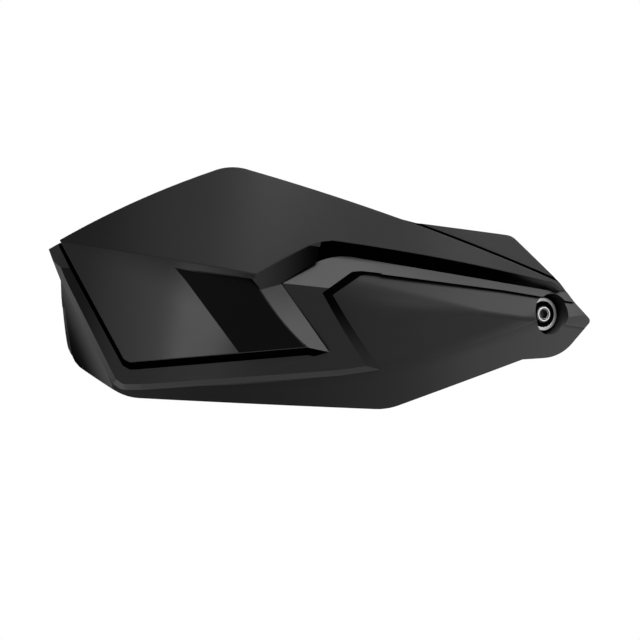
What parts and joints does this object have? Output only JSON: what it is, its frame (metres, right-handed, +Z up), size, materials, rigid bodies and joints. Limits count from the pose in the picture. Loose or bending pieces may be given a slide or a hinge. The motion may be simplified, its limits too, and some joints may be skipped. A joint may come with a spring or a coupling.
{
  "type": "motorcycle hand guard",
  "caption": "Moulded hand guard shield with a raised air deflector, on a bent aluminium arm that clamps to a handlebar and expands in its open end.",
  "frame": {"origin": "on the handlebar axis, in the middle of the clamp", "axes": "+X outboard along the handlebar, +Y to the rear towards the rider, +Z up"},
  "size_m": [0.3148, 0.1339, 0.1382],
  "materials": {
    "shield_plastic": "fine-grained satin moulding, black",
    "deflector_plastic": "satin moulding with a glossier cheek, black",
    "arm_aluminium": "drawn flat bar, satin",
    "clamp_aluminium": "black anodised casting",
    "cup_aluminium": "turned, satin",
    "seal_nylon": "plain black nylon",
    "zinc_steel": "bright zinc plating",
    "black_steel": "black oxide",
    "expander_aluminium": "turned, plain"
  },
  "bodies": {
    "root": {"shield": "shield_plastic", "deflector": "deflector_plastic", "deflector_screws": "black_steel", "deflector_washers": "zinc_steel", "tip_bolt": "zinc_steel", "tip_cup_washer": "cup_aluminium", "tip_seal_washer": "seal_nylon", "tip_nut": "zinc_steel", "shield_bolts": "black_steel", "shield_washers": "zinc_steel", "shield_nuts": "zinc_steel", "support_arm": "arm_aluminium", "clamp_body": "clamp_aluminium", "clamp_cap": "clamp_aluminium", "clamp_bolts": "zinc_steel", "pivot_bolt": "zinc_steel", "pivot_washers": "zinc_steel", "pivot_nut": "zinc_steel", "expander_sleeve": "expander_aluminium", "expander_cone": "zinc_steel", "bar_end_spacer": "clamp_aluminium", "bar_end_washer": "zinc_steel", "bar_end_bolt": "zinc_steel"}
  },
  "joints": []
}
